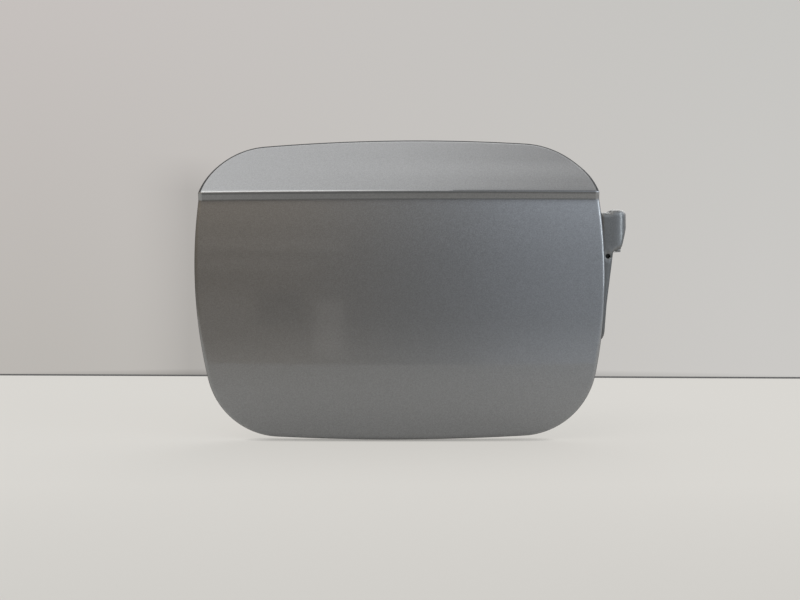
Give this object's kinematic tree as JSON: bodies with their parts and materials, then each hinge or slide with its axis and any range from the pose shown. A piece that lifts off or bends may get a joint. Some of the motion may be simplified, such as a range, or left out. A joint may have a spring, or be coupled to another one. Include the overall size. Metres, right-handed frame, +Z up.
{
  "type": "car fuel door",
  "caption": "Painted car fuel door with a body crease and hemmed edge, on a sprung gooseneck hinge, with latch striker, rubber stops and cap cradle.",
  "frame": {"origin": "middle of the bracket's two screw holes, on the bracket's outer mounting face", "axes": "+X out of the mounting face, to the hinge side, +Y into the car, +Z up"},
  "size_m": [0.1943, 0.0622, 0.1363],
  "materials": {
    "paint": "gloss metallic",
    "primer": "satin",
    "sealer": "matte",
    "zinc": "satin",
    "steel": "satin",
    "rubber": "matte",
    "plastic": "matte"
  },
  "bodies": {
    "bracket": {"upper_bush": "plastic", "lower_bush": "plastic", "hinge_bracket": "zinc", "torsion_spring": "steel", "spring_sleeve": "plastic"},
    "door": {"outer_skin": "paint", "inner_panel": "primer", "hem_seal": "sealer", "hinge_arm": "paint", "arm_screws": "zinc", "weld_nuts": "zinc", "hinge_pin": "steel", "latch_striker": "zinc", "striker_rivets": "zinc", "rubber_stop_1": "rubber", "rubber_stop_2": "rubber", "rubber_stop_3": "rubber", "cap_holder": "plastic", "cap_holder_pins": "plastic"}
  },
  "joints": [
    {"name": "door_hinge", "type": "hinge", "parent": "bracket", "child": "door", "pos_m": [-0.0065, -0.03, 0], "axis": [0, 0, 1], "range_deg": [0, 80], "stiffness_Nm_per_rad": 0.02, "deforming": ["torsion_spring"]}
  ]
}
